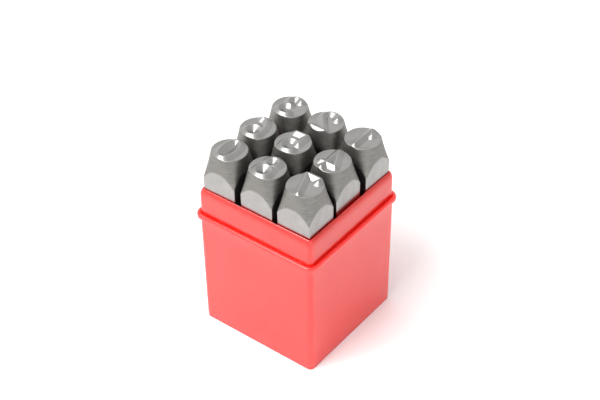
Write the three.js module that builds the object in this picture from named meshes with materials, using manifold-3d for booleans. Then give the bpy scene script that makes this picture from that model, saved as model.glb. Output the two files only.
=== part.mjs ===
// A set of nine steel number punches, digits 0 to 8, standing face up in an open moulded case.
// Millimetres, +Z up. The origin is the centre of the case's underside.
// +Y is the way the digits stand up, and +X is to the right seen from above.
import * as THREE from "three";
import { mergeVertices } from "three/addons/utils/BufferGeometryUtils.js";
import Module from "manifold-3d";

const wasm = await Module();
wasm.setup();

// Punch: a square shank, a head worked from square to round, and a digit in relief on its face.
const SHANK = 14.3; // width across flats
const PUNCH_RIM = 76.9; // height of the face's round rim above the punch's foot
const HEAD = 10.5; // length of the worked head below the rim
const RIM_RADIUS = 6.75;
const FLAT_REACH = 6.5; // how far below the rim the head first meets the flats
const FOOT_CHAMFER = 0.8;
const EDGE_CHAMFER = 0.3; // on the shank's four long edges
const RELIEF = 1.2; // height of the digit's ridge above the rim
const RIDGE = 0.18; // half the width of the ridge's top
const FLANK_ANGLE = THREE.MathUtils.degToRad(33); // slope of the ridge's sides
const HEAD_SIDES = 32;
const CORNER_SLOPE = 0.235; // how fast the head's corners spread out below the rim
const CORNER_CURVE = 0.006; // and how much faster with each millimetre

// Digit: the middle line of its strokes fills a box this size.
const HALF_HEIGHT = 5.3;
const HALF_WIDTH = 2.95;
const ARC_STEP = THREE.MathUtils.degToRad(36);
const STROKE_END_SIDES = 4; // sides of a stroke's rounded end

// Case: a square cup with a bead round it and a thinner collar above the bead.
const CASE_HALF = 25.55; // half the width at the foot
const CASE_DRAFT = 0.4; // how much wider it is just below the bead
const CASE_CORNER = 2;
const CASE_CHAMFER = 0.3; // round the foot
const CASE_WALL = 1.5;
const CASE_FLOOR = 2;
const BEAD_LOW = 48.7;
const BEAD_HIGH = 52.1;
const BEAD_REACH = 1.35; // how far the bead stands out of the wall
const LEDGE = 51.5; // foot of the collar, a little below the bead's crest
const COLLAR_HALF = 25.6;
const COLLAR_WALL = 1.35;
const COLLAR_CORNER = 2;
const CASE_TOP = 63;
const LIP_REACH = 1.15; // how far the collar's rounded lip leans in
const LIP_DROP = 2.6; // and how far down the rounding starts
const LIP_POWER = 1.4; // 1 would make the rounding an ellipse, 2 a straight bevel
const LIP_EDGE = 0.25; // the small edge on the inside of the lip
const INSIDE_CORNER = 0.8;
const CORNER_STEPS = 6;

// Cells: low ribs on the case's floor keep the punches apart.
const PITCH = 16.4; // from one cell's centre to the next
const RIB = 0.8;
const RIB_TOP = 24;
const STAND_GAP = 0.2; // room under a punch, which also takes up its lean

// Where each digit stands: its column and row, and how far the top of the punch leans from upright
// in its loose cell, with the turn of the punch on its own axis in degrees.
const PLACES = [
  { digit: 3, column: -1, row: 1, leanX: 0.6, leanY: 0.3, turn: 0.5 },
  { digit: 2, column: 0, row: 1, leanX: 0.6, leanY: 0.6, turn: 0 },
  { digit: 1, column: 1, row: 1, leanX: 0.7, leanY: 0.7, turn: -0.6 },
  { digit: 6, column: -1, row: 0, leanX: -0.7, leanY: -0.7, turn: -0.5 },
  { digit: 5, column: 0, row: 0, leanX: -1.5, leanY: 0, turn: 0.8 },
  { digit: 4, column: 1, row: 0, leanX: -0.2, leanY: -0.1, turn: 0 },
  { digit: 0, column: -1, row: -1, leanX: -0.55, leanY: -0.65, turn: 0.6 },
  { digit: 8, column: 0, row: -1, leanX: 0.3, leanY: -0.5, turn: -0.4 },
  { digit: 7, column: 1, row: -1, leanX: 0.4, leanY: -0.5, turn: 0 },
];

const STEEL = new THREE.MeshStandardMaterial({
  color: 0xb5b3ae,
  roughness: 0.38,
  metalness: 1,
});
const RED_PLASTIC = new THREE.MeshStandardMaterial({
  color: 0xf0443c,
  roughness: 0.45,
  metalness: 0,
});

// A closed shape through rings of points, each ring anticlockwise seen from above.
// The first ring is closed downwards and the last upwards, so a cup's rings turn over at its lip.
function loft(rings) {
  const sides = rings[0].length;
  const middles = [rings[0], rings.at(-1)].map((ring) =>
    ring
      .reduce((sum, point) => sum.add(point), new THREE.Vector3())
      .divideScalar(sides),
  );
  const points = [...rings.flat(), ...middles];
  const low = rings.length * sides;
  const high = low + 1;
  const faces = [];
  for (let side = 0; side < sides; side++) {
    const next = (side + 1) % sides;
    for (let row = 0; row + 1 < rings.length; row++) {
      const here = row * sides;
      const above = here + sides;
      faces.push(here + side, here + next, above + next);
      faces.push(here + side, above + next, above + side);
    }
    const last = low - sides;
    faces.push(low, next, side);
    faces.push(high, last + side, last + next);
  }
  const shape = new THREE.BufferGeometry().setFromPoints(points);
  shape.setIndex(faces);
  return shape;
}

// A geometry as a solid that can be joined and cut.
function solid(geometry) {
  const bare = geometry.clone();
  bare.deleteAttribute("normal");
  bare.deleteAttribute("uv");
  const merged = mergeVertices(bare, 1e-4);
  return new wasm.Manifold(
    new wasm.Mesh({
      numProp: 3,
      vertProperties: merged.attributes.position.array,
      triVerts: new Uint32Array(merged.index.array),
    }),
  );
}

// A solid back as a geometry with flat faces.
function geometryOf(body) {
  const { vertProperties, triVerts } = body.getMesh();
  const shape = new THREE.BufferGeometry();
  shape.setAttribute(
    "position",
    new THREE.BufferAttribute(vertProperties, 3),
  );
  shape.setIndex(new THREE.BufferAttribute(triVerts, 1));
  const faceted = shape.toNonIndexed();
  faceted.computeVertexNormals();
  return faceted;
}

function box(width, depth, low, high) {
  const shape = new THREE.BoxGeometry(width, depth, high - low);
  return shape.translate(0, 0, (low + high) / 2);
}

// A square ring with round corners at height z.
function roundedSquare(half, corner, z) {
  const ring = [];
  for (let quarter = 0; quarter < 4; quarter++) {
    for (let step = 0; step <= CORNER_STEPS; step++) {
      const angle = ((quarter + step / CORNER_STEPS) * Math.PI) / 2;
      const sideX = quarter === 0 || quarter === 3 ? 1 : -1;
      const sideY = quarter < 2 ? 1 : -1;
      ring.push(
        new THREE.Vector3(
          sideX * (half - corner) + corner * Math.cos(angle),
          sideY * (half - corner) + corner * Math.sin(angle),
          z,
        ),
      );
    }
  }
  return ring;
}

// The case's section from the middle of its underside, up the outside, over the lip and down the inside.
function caseShell() {
  const belowBead = CASE_HALF + CASE_DRAFT;
  const bead = (reach, z) =>
    roundedSquare(belowBead + reach, CASE_CORNER + reach, z);
  const rings = [
    roundedSquare(CASE_HALF - CASE_CHAMFER, CASE_CORNER - CASE_CHAMFER, 0),
    roundedSquare(CASE_HALF, CASE_CORNER, CASE_CHAMFER),
    roundedSquare(belowBead, CASE_CORNER, BEAD_LOW),
  ];
  rings.push(
    bead(0.35 * BEAD_REACH, BEAD_LOW + 0.6),
    bead(0.85 * BEAD_REACH, BEAD_LOW + 1.2),
    bead(BEAD_REACH, BEAD_LOW + 1.8),
    bead(BEAD_REACH, BEAD_HIGH - 0.8),
    bead(BEAD_REACH - 0.25, BEAD_HIGH - 0.25),
    bead(BEAD_REACH - 0.8, BEAD_HIGH),
  );
  const inside = COLLAR_HALF - COLLAR_WALL;
  rings.push(roundedSquare(COLLAR_HALF, COLLAR_CORNER, LEDGE));
  for (const turn of [0, 30, 60, 90].map(THREE.MathUtils.degToRad)) {
    const back = LIP_REACH * (1 - Math.cos(turn) ** LIP_POWER);
    rings.push(
      roundedSquare(
        COLLAR_HALF - back,
        COLLAR_CORNER - back,
        CASE_TOP - LIP_DROP * (1 - Math.sin(turn) ** LIP_POWER),
      ),
    );
  }
  rings.push(
    roundedSquare(inside, INSIDE_CORNER, CASE_TOP - LIP_EDGE),
    roundedSquare(CASE_HALF - CASE_WALL, INSIDE_CORNER, CASE_FLOOR),
  );
  return loft(rings);
}

// Four ribs, two each way, from wall to wall.
function ribs() {
  const span = 2 * (CASE_HALF - CASE_WALL / 2);
  const low = CASE_FLOOR / 2;
  const along = [];
  for (const side of [-0.5, 0.5]) {
    along.push(box(RIB, span, low, RIB_TOP).translate(side * PITCH, 0, 0));
    along.push(box(span, RIB, low, RIB_TOP).translate(0, side * PITCH, 0));
  }
  return along;
}

function makeCase() {
  const body = ribs().reduce(
    (joined, rib) => joined.add(solid(rib)),
    solid(caseShell()),
  );
  return geometryOf(body);
}

// The head's section this far below the rim: a superellipse that runs from a circle to nearly a square.
function headRing(depth) {
  const spread = Math.max(depth, 0) / FLAT_REACH;
  const half = RIM_RADIUS + (SHANK / 2 - RIM_RADIUS) * spread;
  const corner =
    RIM_RADIUS + CORNER_SLOPE * depth + CORNER_CURVE * depth * Math.abs(depth);
  const power = 1 / Math.max(Math.log2((half * Math.SQRT2) / corner), 1 / 30);
  const scale = depth < 0 ? corner / RIM_RADIUS : 1;
  const ring = [];
  for (let side = 0; side < HEAD_SIDES; side++) {
    const angle = (side / HEAD_SIDES) * 2 * Math.PI;
    const x = Math.cos(angle);
    const y = Math.sin(angle);
    const shape = Math.abs(x) ** power + Math.abs(y) ** power;
    const reach = (scale * half) / shape ** (1 / power);
    ring.push(new THREE.Vector3(reach * x, reach * y, PUNCH_RIM - depth));
  }
  return ring;
}

// Everything outside the worked head, from below the foot to above the ridge.
function headEnvelope() {
  const depths = [HEAD + 2, 9.5, 8.5, 7.7, 7, 6, 4.5, 3, 1.5, 0, -2];
  const rings = depths.map(headRing);
  const wide = rings[0].map(
    (point) => new THREE.Vector3(point.x * 1.2, point.y * 1.2, -1),
  );
  return loft([wide, ...rings]);
}

function shank() {
  const top = PUNCH_RIM + 2 * RELIEF;
  const square = (half, z) => {
    const short = half - EDGE_CHAMFER;
    return [
      [half, short],
      [short, half],
      [-short, half],
      [-half, short],
      [-half, -short],
      [-short, -half],
      [short, -half],
      [half, -short],
    ].map(([x, y]) => new THREE.Vector3(x, y, z));
  };
  return loft([
    square(SHANK / 2 - FOOT_CHAMFER, 0),
    square(SHANK / 2, FOOT_CHAMFER),
    square(SHANK / 2, top),
  ]);
}

const line = (...points) => points.map(([x, y]) => new THREE.Vector2(x, y));

// Points along an upright ellipse, from one angle to another in degrees.
function arc(x, y, radiusX, radiusY, from, to) {
  const span = THREE.MathUtils.degToRad(to - from);
  const steps = Math.max(2, Math.round(Math.abs(span) / ARC_STEP));
  const start = THREE.MathUtils.degToRad(from);
  return Array.from({ length: steps + 1 }, (_, step) => {
    const angle = start + (span * step) / steps;
    return new THREE.Vector2(
      x + radiusX * Math.cos(angle),
      y + radiusY * Math.sin(angle),
    );
  });
}

// Each digit as it reads on the work: its strokes, and the closed counters inside them.
function digitStrokes(digit) {
  const w = HALF_WIDTH;
  const h = HALF_HEIGHT;
  const upper = { y: 0.54 * h, x: 0.82 * w, r: 0.46 * h };
  const lower = { y: -0.46 * h, x: w, r: 0.54 * h };
  const ring = ({ x, y, r }) => arc(0, y, x, r, 0, 360);
  switch (digit) {
    case 0: {
      const oval = arc(0, 0, w, h, 0, 360);
      return { strokes: [oval], counters: [oval] };
    }
    case 1:
      return { strokes: [line([-0.65 * w, 0.5 * h], [0, h], [0, -h])] };
    case 2:
      return {
        strokes: [
          [
            ...arc(0, h - 0.95 * w, w, 0.95 * w, 165, -30),
            ...line([-w, -h], [w, -h]),
          ],
        ],
      };
    case 3:
      return {
        strokes: [
          arc(0, upper.y, upper.x, upper.r, 145, -90),
          arc(0, lower.y, lower.x, lower.r, 90, -145),
        ],
      };
    case 4: {
      const bar = -0.5 * h;
      const stem = 0.35 * w;
      const slope = line([-w, bar], [stem, h]);
      return {
        strokes: [line([stem, -h], [stem, h]), slope, line([-w, bar], [w, bar])],
        counters: [line([-w, bar], [stem, bar], [stem, h])],
      };
    }
    case 5:
      return {
        strokes: [
          line([0.8 * w, h], [-0.75 * w, h], [-0.85 * w, 0.12 * h]),
          arc(-0.05 * w, -0.4 * h, w, 0.6 * h, 145, -145),
        ],
      };
    case 6:
      return {
        strokes: [
          ring(lower),
          arc(0.35 * w, lower.y, 1.35 * w, h - lower.y, 180, 80),
        ],
        counters: [ring(lower)],
      };
    case 7:
      return {
        strokes: [line([-w, 0.7 * h], [-w, h], [w, h], [-0.35 * w, -h])],
      };
    default:
      return {
        strokes: [ring(upper), ring(lower)],
        counters: [ring(upper), ring(lower)],
      };
  }
}

// One straight piece of a stroke: a ridge with sloping flanks and round ends.
// A punch's face is the mirror image of its mark, so x is turned over here.
function strokeBar(from, to) {
  const start = new THREE.Vector2(-from.x, from.y);
  const end = new THREE.Vector2(-to.x, to.y);
  const heading = end.clone().sub(start).angle();
  const outline = (radius, z) => {
    const ring = [];
    for (const [centre, first] of [
      [end, -Math.PI / 2],
      [start, Math.PI / 2],
    ]) {
      for (let side = 0; side <= STROKE_END_SIDES; side++) {
        const angle = heading + first + (side / STROKE_END_SIDES) * Math.PI;
        ring.push(
          new THREE.Vector3(
            centre.x + radius * Math.cos(angle),
            centre.y + radius * Math.sin(angle),
            z,
          ),
        );
      }
    }
    return ring;
  };
  const foot = RIDGE + (2 * RELIEF) / Math.tan(FLANK_ANGLE);
  return loft([
    outline(foot, PUNCH_RIM - RELIEF),
    outline(RIDGE, PUNCH_RIM + RELIEF),
  ]);
}

// A pocket under a closed counter, where the flanks run down to meet in a groove.
function pocket(outline) {
  const shape = new THREE.Shape(
    outline.map((point) => new THREE.Vector2(-point.x, point.y)),
  );
  const cutter = new THREE.ExtrudeGeometry(shape, {
    depth: RELIEF + 1,
    bevelEnabled: false,
  });
  return cutter.translate(0, 0, PUNCH_RIM - 0.9 * RELIEF);
}

function makePunch(digit) {
  const { strokes, counters = [] } = digitStrokes(digit);
  let face = solid(box(2 * SHANK, 2 * SHANK, -1, PUNCH_RIM));
  for (const counter of counters) face = face.subtract(solid(pocket(counter)));
  for (const stroke of strokes) {
    for (let point = 1; point < stroke.length; point++) {
      face = face.add(solid(strokeBar(stroke[point - 1], stroke[point])));
    }
  }
  const body = solid(shank()).intersect(solid(headEnvelope())).intersect(face);
  return geometryOf(body);
}

const punchSet = new THREE.Group();

const caseBody = new THREE.Mesh(makeCase(), RED_PLASTIC);
caseBody.name = "case_body";
punchSet.add(caseBody);

for (const { digit, column, row, leanX, leanY, turn } of PLACES) {
  const punch = new THREE.Mesh(makePunch(digit), STEEL);
  punch.name = `punch_${digit}`;
  punch.position.set(column * PITCH, row * PITCH, CASE_FLOOR + STAND_GAP);
  punch.rotation.set(
    -Math.asin(leanY / PUNCH_RIM),
    Math.asin(leanX / PUNCH_RIM),
    THREE.MathUtils.degToRad(turn),
  );
  punchSet.add(punch);
}

export default punchSet;
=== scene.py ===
"""Nine steel number punches standing face up in an open red plastic case."""

import math

import bpy
import numpy as np
from mathutils import Matrix, Vector


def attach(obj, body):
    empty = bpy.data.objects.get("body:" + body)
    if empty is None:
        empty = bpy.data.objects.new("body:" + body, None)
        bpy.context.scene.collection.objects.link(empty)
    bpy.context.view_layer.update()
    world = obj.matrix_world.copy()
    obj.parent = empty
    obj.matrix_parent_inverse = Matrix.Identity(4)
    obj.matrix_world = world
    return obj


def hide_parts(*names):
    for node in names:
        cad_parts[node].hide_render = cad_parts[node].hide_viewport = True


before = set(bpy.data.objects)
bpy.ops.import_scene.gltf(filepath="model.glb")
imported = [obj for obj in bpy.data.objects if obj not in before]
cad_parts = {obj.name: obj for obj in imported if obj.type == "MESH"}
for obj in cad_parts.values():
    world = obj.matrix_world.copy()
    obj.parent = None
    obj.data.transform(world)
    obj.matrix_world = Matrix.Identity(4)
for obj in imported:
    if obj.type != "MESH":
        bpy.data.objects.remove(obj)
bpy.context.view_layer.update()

MM = 0.001

# Punch, in millimetres, in its own frame: the foot's centre is the origin and +Z runs up the shank.
SHANK_HALF = 7.15
RIM = 76.9  # height of the face's round rim
HEAD = 10.5  # length of the worked head below the rim
RIM_RADIUS = 6.75
FLAT_REACH = 6.5  # how far below the rim the head first meets the flats
EDGE_ROUND = 0.35  # on the shank's four long edges
FOOT_CHAMFER = 0.8
CORNER_SLOPE = 0.235  # how fast the head's corners spread out below the rim
CORNER_CURVE = 0.006  # and how much faster with each millimetre
RELIEF = 1.2  # height of the digit's ridge above the rim
RIDGE = 0.16  # half the width of the ridge's top
FLANK_SLOPE = math.tan(math.radians(33))
RIM_ROUND = 0.12
COLUMNS = 256  # vertices round a punch
FACE_RINGS = 52
HEAD_ROWS = 46

# The box that the middle line of a digit's strokes fills.
HALF_HEIGHT = 5.3
HALF_WIDTH = 2.95
ARC_STEP = 5.0  # degrees

# Case, in millimetres, in the part's frame.
CASE_HALF = 25.55
CASE_DRAFT = 0.4
CASE_CORNER = 2.0
CASE_WALL = 1.5
CASE_FLOOR = 2.0
BEAD_LOW = 48.7
BEAD_HIGH = 52.1
BEAD_REACH = 1.35
COLLAR_HALF = 25.6
COLLAR_WALL = 1.35
COLLAR_CORNER = 2.0
CASE_TOP = 63.0
LIP_REACH = 1.15
LIP_DROP = 2.6
LIP_EDGE = 0.25
LIP_POWER = 1.4
LEDGE = 51.5
INSIDE_CORNER = 0.8
CORNER_STEPS = 14
PITCH = 16.4
RIB = 0.8
RIB_TOP = 24.0


# ---------------------------------------------------------------- camera, floor and light


def back_direction(azimuth, elevation):
    """Unit vector from the object towards the viewer, for angles in degrees."""
    a = math.radians(azimuth)
    e = math.radians(elevation)
    return Vector((math.sin(a) * math.cos(e), -math.cos(a) * math.cos(e), math.sin(e)))


def look_at(obj, target, roll=0.0):
    """Turns obj so that its -Z points at target, with its own roll in degrees."""
    away = (obj.location - target).normalized()
    turn = away.to_track_quat("Z", "Y").to_matrix().to_4x4()
    spin = Matrix.Rotation(math.radians(roll), 4, "Z")
    obj.matrix_world = Matrix.Translation(obj.location) @ turn @ spin


def add_camera():
    target = Vector((-3.2, 5.8, 47.9)) * MM
    distance = 0.554
    azimuth = 37.93
    elevation = 39.38
    data = bpy.data.cameras.new("camera")
    data.lens = 88.8
    data.sensor_width = 36.0
    data.clip_start = 0.01
    camera = bpy.data.objects.new("camera", data)
    bpy.context.collection.objects.link(camera)
    camera.location = target + distance * back_direction(azimuth, elevation)
    look_at(camera, target, roll=-0.71)
    bpy.context.scene.camera = camera


def add_area(name, azimuth, elevation, distance, width, height, power):
    """A soft white light that faces the object from one direction."""
    data = bpy.data.lights.new(name, "AREA")
    data.shape = "RECTANGLE"
    data.size = width
    data.size_y = height
    data.energy = power
    light = bpy.data.objects.new(name, data)
    bpy.context.collection.objects.link(light)
    target = Vector((0, 0, 60)) * MM
    light.location = target + distance * back_direction(azimuth, elevation)
    look_at(light, target)


def add_world():
    """A white tent all round that gets dimmer from -X to +X."""
    world = bpy.data.worlds.new("studio")
    bpy.context.scene.world = world
    world.use_nodes = True
    tree = world.node_tree
    background = tree.nodes["Background"]
    place = tree.nodes.new("ShaderNodeTexCoord")
    split = tree.nodes.new("ShaderNodeSeparateXYZ")
    spread = tree.nodes.new("ShaderNodeMapRange")
    for key, number in (("From Min", -1), ("From Max", 1), ("To Min", 1.2), ("To Max", 0.62)):
        spread.inputs[key].default_value = number
    tree.links.new(place.outputs["Generated"], split.inputs["Vector"])
    tree.links.new(split.outputs["X"], spread.inputs["Value"])
    tree.links.new(spread.outputs["Result"], background.inputs["Strength"])
    background.inputs["Color"].default_value = (1.0, 0.995, 0.985, 1)


def add_floor():
    bpy.ops.mesh.primitive_circle_add(vertices=128, radius=0.5, fill_type="NGON")
    floor = bpy.context.object
    floor.name = "floor"
    material = bpy.data.materials.new("white_floor")
    material.use_nodes = True
    shader = material.node_tree.nodes["Principled BSDF"]
    shader.inputs["Base Color"].default_value = (0.9, 0.9, 0.9, 1)
    shader.inputs["Roughness"].default_value = 0.9
    shader.inputs["Specular IOR Level"].default_value = 0.1
    floor.data.materials.append(material)


add_camera()
add_floor()
add_world()
add_area("overhead_softbox", -44.0, 60.0, 0.75, 0.46, 0.46, 1.7)
add_area("front_softbox", -14.0, 54.0, 1.0, 0.6, 0.5, 8.4)
add_area("right_fill", 72.0, 10.0, 0.9, 0.6, 0.4, 1.4)

bpy.context.scene.view_settings.view_transform = "Standard"


# ---------------------------------------------------------------- materials


class Nodes:
    """Short names for building a material's node tree."""

    def __init__(self, name):
        self.material = bpy.data.materials.new(name)
        self.material.use_nodes = True
        self.tree = self.material.node_tree
        self.shader = self.tree.nodes["Principled BSDF"]

    def add(self, kind, **settings):
        node = self.tree.nodes.new("ShaderNode" + kind)
        for key, value in settings.items():
            setattr(node, key, value)
        return node

    def link(self, source, target):
        self.tree.links.new(source, target)

    def value(self, source, low, high, out_low, out_high):
        """source mapped from one range to another."""
        node = self.add("MapRange")
        self.link(source, node.inputs["Value"])
        keys = ("From Min", "From Max", "To Min", "To Max")
        for key, number in zip(keys, (low, high, out_low, out_high)):
            node.inputs[key].default_value = number
        return node.outputs["Result"]

    def noise(self, stretch, detail, roughness=0.5):
        """Noise in the object's own space, with stretch cells per metre along each axis."""
        place = self.add("TexCoord")
        scale = self.add("Mapping")
        scale.inputs["Scale"].default_value = stretch
        self.link(place.outputs["Object"], scale.inputs["Vector"])
        noise = self.add("TexNoise")
        noise.inputs["Scale"].default_value = 1.0
        noise.inputs["Detail"].default_value = detail
        noise.inputs["Roughness"].default_value = roughness
        self.link(scale.outputs["Vector"], noise.inputs["Vector"])
        return noise.outputs["Fac"]

    def mix(self, factor, first, second):
        """A number between two numbers or outputs."""
        node = self.add("Mix")
        for socket, value in zip(node.inputs[:1] + node.inputs[2:4], (factor, first, second)):
            if isinstance(value, (int, float)):
                socket.default_value = value
            else:
                self.link(value, socket)
        return node.outputs[0]

    def maths(self, operation, first, second):
        node = self.add("Math", operation=operation)
        for socket, value in zip(node.inputs, (first, second)):
            if isinstance(value, (int, float)):
                socket.default_value = value
            else:
                self.link(value, socket)
        return node.outputs[0]

    def ramp(self, factor, *stops):
        """A colour from (position, colour) stops."""
        node = self.add("ValToRGB")
        ramp = node.color_ramp
        while len(ramp.elements) < len(stops):
            ramp.elements.new(0.5)
        for element, (position, colour) in zip(ramp.elements, stops):
            element.position = position
            element.color = (*colour, 1)
        self.link(factor, node.inputs["Fac"])
        return node.outputs["Color"]

    def bump(self, height, distance, strength):
        node = self.add("Bump")
        node.inputs["Distance"].default_value = distance
        node.inputs["Strength"].default_value = strength
        self.link(height, node.inputs["Height"])
        self.link(node.outputs["Normal"], self.shader.inputs["Normal"])

    def attribute(self, name):
        return self.add("Attribute", attribute_name=name).outputs["Fac"]


def steel():
    """Ground steel: fine lines round the worked head, a smoother satin on the shank's flats."""
    n = Nodes("ground_steel")
    n.shader.inputs["Metallic"].default_value = 1.0
    worked = n.attribute("worked")
    turned = n.noise((260, 260, 2600), detail=6.0, roughness=0.7)
    drawn = n.noise((5200, 5200, 260), detail=3.0, roughness=0.6)
    lines = n.mix(worked, drawn, turned)
    stain = n.value(n.noise((140, 140, 110), detail=4.0, roughness=0.6), 0.3, 0.7, 0.42, 0.58)
    streaks = n.value(worked, 0.0, 1.0, 0.15, 0.75)
    tone = n.mix(streaks, stain, lines)
    colour = n.ramp(
        tone,
        (0.36, (0.26, 0.257, 0.248)),
        (0.50, (0.34, 0.337, 0.329)),
        (0.64, (0.43, 0.427, 0.419)),
    )
    shade = n.add("Mix", data_type="RGBA", blend_type="MULTIPLY")
    n.link(worked, shade.inputs["Factor"])
    n.link(colour, shade.inputs["A"])
    shade.inputs["B"].default_value = (0.685, 0.675, 0.65, 1)
    n.link(shade.outputs["Result"], n.shader.inputs["Base Color"])
    smooth = n.value(lines, 0.3, 0.7, 0.28, 0.36)
    rough = n.value(lines, 0.3, 0.7, 0.44, 0.62)
    n.link(n.mix(worked, smooth, rough), n.shader.inputs["Roughness"])
    n.bump(n.maths("MULTIPLY", lines, n.value(worked, 0.0, 1.0, 0.25, 1.0)), 0.00002, 0.7)
    return n.material


def red_plastic():
    """Injection-moulded plastic that lets a little light through, with a soft mould texture."""
    n = Nodes("red_plastic")
    n.shader.inputs["Subsurface Weight"].default_value = 0.8
    n.shader.inputs["Subsurface Radius"].default_value = (1.0, 0.05, 0.03)
    n.shader.inputs["Subsurface Scale"].default_value = 0.006
    n.shader.inputs["IOR"].default_value = 1.56
    n.shader.inputs["Specular IOR Level"].default_value = 0.8
    cloud = n.noise((45, 45, 30), detail=3.0)
    colour = n.ramp(cloud, (0.3, (0.78, 0.012, 0.007)), (0.7, (0.85, 0.016, 0.010)))
    n.link(colour, n.shader.inputs["Base Color"])
    grain = n.noise((2600, 2600, 2600), detail=2.0)
    n.link(n.value(grain, 0.3, 0.7, 0.17, 0.25), n.shader.inputs["Roughness"])
    waves = n.noise((60, 60, 40), detail=1.0)
    n.bump(n.maths("ADD", n.maths("MULTIPLY", waves, 12.0), grain), 0.00001, 0.5)
    return n.material


# ---------------------------------------------------------------- digits


def arc(x, y, radius_x, radius_y, start, end):
    """Points along an upright ellipse between two angles in degrees."""
    steps = max(2, round(abs(end - start) / ARC_STEP))
    angles = np.radians(np.linspace(start, end, steps + 1))
    return np.column_stack((x + radius_x * np.cos(angles), y + radius_y * np.sin(angles)))


def line(*points):
    return np.array(points, float)


def digit_shape(digit):
    """The digit as it reads on the work: (strokes, outlines of its closed counters)."""
    w = HALF_WIDTH
    h = HALF_HEIGHT
    upper = arc(0, 0.54 * h, 0.82 * w, 0.46 * h, 0, 360)
    lower = arc(0, -0.46 * h, w, 0.54 * h, 0, 360)
    if digit == 0:
        oval = arc(0, 0, w, h, 0, 360)
        return [oval], [oval]
    if digit == 1:
        return [line((-0.65 * w, 0.5 * h), (0, h), (0, -h))], []
    if digit == 2:
        hook = arc(0, h - 0.95 * w, w, 0.95 * w, 165, -30)
        return [np.vstack((hook, line((-w, -h), (w, -h))))], []
    if digit == 3:
        top = arc(0, 0.54 * h, 0.82 * w, 0.46 * h, 145, -90)
        bottom = arc(0, -0.46 * h, w, 0.54 * h, 90, -145)
        return [top, bottom], []
    if digit == 4:
        bar = -0.5 * h
        stem = 0.35 * w
        strokes = [line((stem, -h), (stem, h)), line((-w, bar), (stem, h)), line((-w, bar), (w, bar))]
        return strokes, [line((-w, bar), (stem, bar), (stem, h))]
    if digit == 5:
        flag = line((0.8 * w, h), (-0.75 * w, h), (-0.85 * w, 0.12 * h))
        return [flag, arc(-0.05 * w, -0.4 * h, w, 0.6 * h, 145, -145)], []
    if digit == 6:
        return [lower, arc(0.35 * w, -0.46 * h, 1.35 * w, 1.46 * h, 180, 80)], [lower]
    if digit == 7:
        return [line((-w, 0.7 * h), (-w, h), (w, h), (-0.35 * w, -h))], []
    return [upper, lower], [upper, lower]


def distance_to(stroke, x, y):
    """Distance from each point to a line of straight pieces."""
    nearest = np.full(x.shape, np.inf)
    for (ax, ay), (bx, by) in zip(stroke[:-1], stroke[1:]):
        dx = bx - ax
        dy = by - ay
        along = np.clip(((x - ax) * dx + (y - ay) * dy) / (dx * dx + dy * dy), 0, 1)
        nearest = np.minimum(nearest, np.hypot(x - ax - along * dx, y - ay - along * dy))
    return nearest


def inside(outline, x, y):
    """Whether each point is inside a closed outline."""
    odd = np.zeros(x.shape, bool)
    for (ax, ay), (bx, by) in zip(outline, np.roll(outline, -1, axis=0)):
        if ay == by:
            continue
        crosses = (ay > y) != (by > y)
        odd ^= crosses & (x < ax + (y - ay) * (bx - ax) / (by - ay))
    return odd


def face_height(digit, x, y):
    """Height of the face at each point. A punch's face is the mirror image of its mark."""
    strokes, counters = digit_shape(digit)
    reach = np.min([distance_to(stroke, -x, y) for stroke in strokes], axis=0)
    ridge = RIM + RELIEF - FLANK_SLOPE * np.maximum(0, reach - RIDGE)
    ground = np.full(x.shape, RIM)
    for counter in counters:
        ground[inside(counter, -x, y)] = RIM - RELIEF
    return np.maximum(ridge, ground)


# ---------------------------------------------------------------- punch


def square_reach(angle, half, edge):
    """Distance from the axis to a square with edges rounded by the radius edge."""
    x = np.abs(np.cos(angle))
    y = np.abs(np.sin(angle))
    side = half / np.maximum(x, y)
    middle = half - edge
    along = middle * (x + y)
    rounded = along + np.sqrt(np.maximum(0, along**2 - 2 * middle**2 + edge**2))
    corner = np.minimum(x, y) * side > middle
    return np.where(corner, rounded, side)


def head_reach(angle, depth):
    """Distance from the axis to the worked head: a superellipse, round at the rim and square below."""
    down = np.maximum(depth, 0)
    half = RIM_RADIUS + (SHANK_HALF - RIM_RADIUS) * down / FLAT_REACH
    corner = RIM_RADIUS + CORNER_SLOPE * down + CORNER_CURVE * down**2
    power = 1 / np.maximum(np.log2(half * math.sqrt(2) / corner), 1 / 30)
    shape = np.abs(np.cos(angle)) ** power + np.abs(np.sin(angle)) ** power
    return half / shape ** (1 / power) + CORNER_SLOPE * np.minimum(depth, 0)


def side_reach(angle, z):
    """(distance from the axis to the punch's side, how much of it is worked head)."""
    flat = square_reach(angle, SHANK_HALF, EDGE_ROUND)
    head = head_reach(angle, RIM - z)
    head = np.where(RIM - z > HEAD + 1, flat + 1, head)
    blend = 0.03
    mix = np.clip(0.5 + (flat - head) / (2 * blend), 0, 1)
    reach = flat * (1 - mix) + head * mix - blend * mix * (1 - mix)
    return reach, mix


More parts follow.
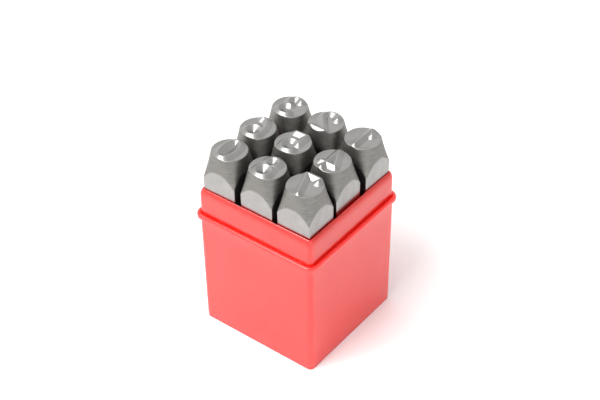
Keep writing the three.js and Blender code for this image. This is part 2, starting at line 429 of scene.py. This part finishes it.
def punch_mesh(digit):
    """(vertices in millimetres, faces, worked) of one punch, as one closed surface."""
    angle = np.linspace(0, 2 * math.pi, COLUMNS, endpoint=False)
    rows = []
    worked = []

    def add_row(reach, z, share):
        z = np.broadcast_to(z, angle.shape)
        rows.append(np.column_stack((reach * np.cos(angle), reach * np.sin(angle), z)))
        worked.append(np.broadcast_to(share, angle.shape))

    foot_section = (
        (FOOT_CHAMFER + 3, 0),
        (FOOT_CHAMFER + 0.1, 0),
        (FOOT_CHAMFER, 0.05),
        (0.05, FOOT_CHAMFER - 0.05),
        (0, FOOT_CHAMFER + 0.1),
    )
    for inset, z in foot_section:
        add_row(square_reach(angle, SHANK_HALF - inset, EDGE_ROUND), z, 0)
    for z in np.linspace(8, RIM - HEAD - 1.5, 6):
        add_row(square_reach(angle, SHANK_HALF, EDGE_ROUND), z, 0)

    rim_height = np.full(angle.shape, RIM)
    for _ in range(12):
        reach, _share = side_reach(angle, rim_height)
        rim_height = face_height(digit, reach * np.cos(angle), reach * np.sin(angle))
    start = RIM - HEAD - 1.3
    for share in np.linspace(0, 1, HEAD_ROWS):
        z = start + (rim_height - RIM_ROUND - start) * share
        reach, head_share = side_reach(angle, z)
        add_row(reach, z, head_share)
    side, _share = side_reach(angle, rim_height)
    add_row(side - 0.3 * RIM_ROUND, rim_height - 0.3 * RIM_ROUND, 0.5)
    for ring in range(FACE_RINGS):
        inner = (side - RIM_ROUND) * (1 - ring / FACE_RINGS)
        add_row(inner, face_height(digit, inner * np.cos(angle), inner * np.sin(angle)), 0)

    vertices = np.vstack(rows)
    middle = face_height(digit, np.zeros(1), np.zeros(1))[0]
    vertices = np.vstack((vertices, [[0, 0, 0], [0, 0, middle]]))
    faces = []
    for row in range(len(rows) - 1):
        for column in range(COLUMNS):
            after = (column + 1) % COLUMNS
            here = row * COLUMNS
            above = here + COLUMNS
            faces.append((here + column, here + after, above + after, above + column))
    last = (len(rows) - 1) * COLUMNS
    foot = len(vertices) - 2
    for column in range(COLUMNS):
        after = (column + 1) % COLUMNS
        faces.append((foot, after, column))
        faces.append((foot + 1, last + column, last + after))
    return vertices, faces, np.append(np.concatenate(worked), (0, 0))


def rest_matrix(node):
    """Where a CAD punch stands: its foot's centre, with +Z up its shank and +X across its flats."""
    mesh = node.data
    count = len(mesh.polygons)
    normals = np.empty(count * 3)
    centres = np.empty(count * 3)
    areas = np.empty(count)
    mesh.polygons.foreach_get("normal", normals)
    mesh.polygons.foreach_get("center", centres)
    mesh.polygons.foreach_get("area", areas)
    normals = normals.reshape(-1, 3)
    centres = centres.reshape(-1, 3)
    foot = normals[:, 2] < -0.99
    side = normals[:, 0] > 0.99
    up = Vector(-np.average(normals[foot], axis=0, weights=areas[foot])).normalized()
    right = Vector(np.average(normals[side], axis=0, weights=areas[side]))
    right = (right - right.dot(up) * up).normalized()
    place = Vector(np.average(centres[foot], axis=0, weights=areas[foot]))
    turn = Matrix((right, up.cross(right), up)).transposed().to_4x4()
    return Matrix.Translation(place) @ turn


def new_object(name, vertices, faces, matrix=None):
    """A smooth-shaded mesh object from vertices in millimetres."""
    mesh = bpy.data.meshes.new(name)
    mesh.from_pydata((vertices * MM).tolist(), [], faces)
    mesh.shade_smooth()
    obj = bpy.data.objects.new(name, mesh)
    bpy.context.collection.objects.link(obj)
    if matrix is not None:
        obj.matrix_world = matrix
    return obj


def add_punches(material):
    for name, node in sorted(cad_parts.items()):
        if not name.startswith("punch_"):
            continue
        digit = int(name.split("_")[1])
        vertices, faces, worked = punch_mesh(digit)
        punch = new_object(f"number_punch_{digit}", vertices, faces, rest_matrix(node))
        layer = punch.data.attributes.new("worked", "FLOAT", "POINT")
        layer.data.foreach_set("value", worked)
        punch.data.materials.append(material)
        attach(punch, f"number_{digit}")
        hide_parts(name)


# ---------------------------------------------------------------- case


def rounded_square(half, corner, z):
    """A ring of points round a square with round corners, anticlockwise from above."""
    ring = []
    for quarter, (side_x, side_y) in enumerate(((1, 1), (-1, 1), (-1, -1), (1, -1))):
        for step in range(CORNER_STEPS + 1):
            angle = (quarter + step / CORNER_STEPS) * math.pi / 2
            x = side_x * (half - corner) + corner * math.cos(angle)
            y = side_y * (half - corner) + corner * math.sin(angle)
            ring.append((x, y, z))
    return ring


def rounding(centre_half, centre_z, radius, start, end, steps=5):
    """(half width, height) along a round edge of the case's section, for angles in degrees."""
    angles = np.radians(np.linspace(start, end, steps + 1))
    return [(centre_half + radius * math.cos(a), centre_z + radius * math.sin(a)) for a in angles]


def case_section():
    """(half width, height, corner radius) up the outside, over the lip and down the inside."""
    below_bead = CASE_HALF + CASE_DRAFT
    inside_top = COLLAR_HALF - COLLAR_WALL
    section = [(CASE_HALF - 4, 0), (CASE_HALF - 0.4, 0)]
    section += rounding(CASE_HALF - 0.3, 0.3, 0.3, -75, 0)
    for share in (0.15, 0.4, 0.65, 0.9):
        section.append((CASE_HALF + share * CASE_DRAFT, share * BEAD_LOW))
    full = below_bead + BEAD_REACH
    for share in np.linspace(0, 1, 9):
        swell = BEAD_REACH * (0.5 - 0.5 * math.cos(math.pi * share))
        section.append((below_bead + swell, BEAD_LOW + 1.8 * share))
    edge = 0.8
    section += rounding(full - edge, BEAD_HIGH - edge, edge, 0, 115, 8)
    fillet = 0.25
    section += rounding(COLLAR_HALF + fillet, LEDGE + fillet, -fillet, 55, 0, 4)
    section += [(COLLAR_HALF, BEAD_HIGH + 4), (COLLAR_HALF, CASE_TOP - LIP_DROP - 1)]
    for turn in np.radians(np.linspace(0, 90, 10)):
        out = COLLAR_HALF - LIP_REACH * (1 - math.cos(turn) ** LIP_POWER)
        section.append((out, CASE_TOP - LIP_DROP * (1 - math.sin(turn) ** LIP_POWER)))
    section += rounding(inside_top + LIP_EDGE, CASE_TOP - LIP_EDGE, LIP_EDGE, 105, 180, 4)
    section += [(inside_top, CASE_TOP - 2), (CASE_HALF - CASE_WALL, CASE_FLOOR + 1)]
    section += rounding(CASE_HALF - CASE_WALL - 0.5, CASE_FLOOR + 0.5, -0.5, 180, 90, 3)
    return section


def case_shell():
    """The case without its ribs: rings of points up its section, joined and closed."""
    rings = []
    section = case_section()
    top = max(range(len(section)), key=lambda i: section[i][1])
    for index, (half, z) in enumerate(section):
        if index <= top and z > BEAD_HIGH:
            corner = max(0.3, COLLAR_CORNER + half - COLLAR_HALF)
        elif index <= top:
            corner = max(0.3, CASE_CORNER + half - CASE_HALF)
        else:
            corner = INSIDE_CORNER + max(0, half - COLLAR_HALF + COLLAR_WALL)
        rings.append(rounded_square(half, corner, z))
    sides = len(rings[0])
    faces = []
    for row in range(len(rings) - 1):
        for side in range(sides):
            after = (side + 1) % sides
            here = row * sides
            above = here + sides
            faces.append((here + side, here + after, above + after, above + side))
    last = (len(rings) - 1) * sides
    faces.append(tuple(range(sides))[::-1])
    faces.append(tuple(last + side for side in range(sides)))
    return new_object("case_shell", np.array(rings).reshape(-1, 3), faces)


def add_rib(along_x, offset):
    """One divider rib from wall to wall, as a thin box."""
    bpy.ops.mesh.primitive_cube_add(size=1)
    rib = bpy.context.object
    span = 2 * (CASE_HALF - CASE_WALL / 2)
    low = CASE_FLOOR / 2
    size = (span, RIB) if along_x else (RIB, span)
    rib.scale = Vector((*size, RIB_TOP - low)) * MM
    place = (0, offset) if along_x else (offset, 0)
    rib.location = Vector((*place, (RIB_TOP + low) / 2)) * MM
    bpy.ops.object.transform_apply(location=True, rotation=False, scale=True)
    return rib


def add_case(material):
    case = case_shell()
    ribs = [add_rib(along_x, side * PITCH / 2) for along_x in (True, False) for side in (-1, 1)]
    for rib in ribs:
        union = case.modifiers.new("rib", "BOOLEAN")
        union.operation = "UNION"
        union.solver = "EXACT"
        union.object = rib
    whole = case.evaluated_get(bpy.context.evaluated_depsgraph_get())
    mesh = bpy.data.meshes.new_from_object(whole)
    case.modifiers.clear()
    case.data = mesh
    for rib in ribs:
        bpy.data.objects.remove(rib)
    mesh.shade_smooth()
    mesh.set_sharp_from_angle(angle=math.radians(40))
    mesh.materials.clear()
    mesh.materials.append(material)
    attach(case, "case")
    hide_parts("case_body")


add_punches(steel())
add_case(red_plastic())
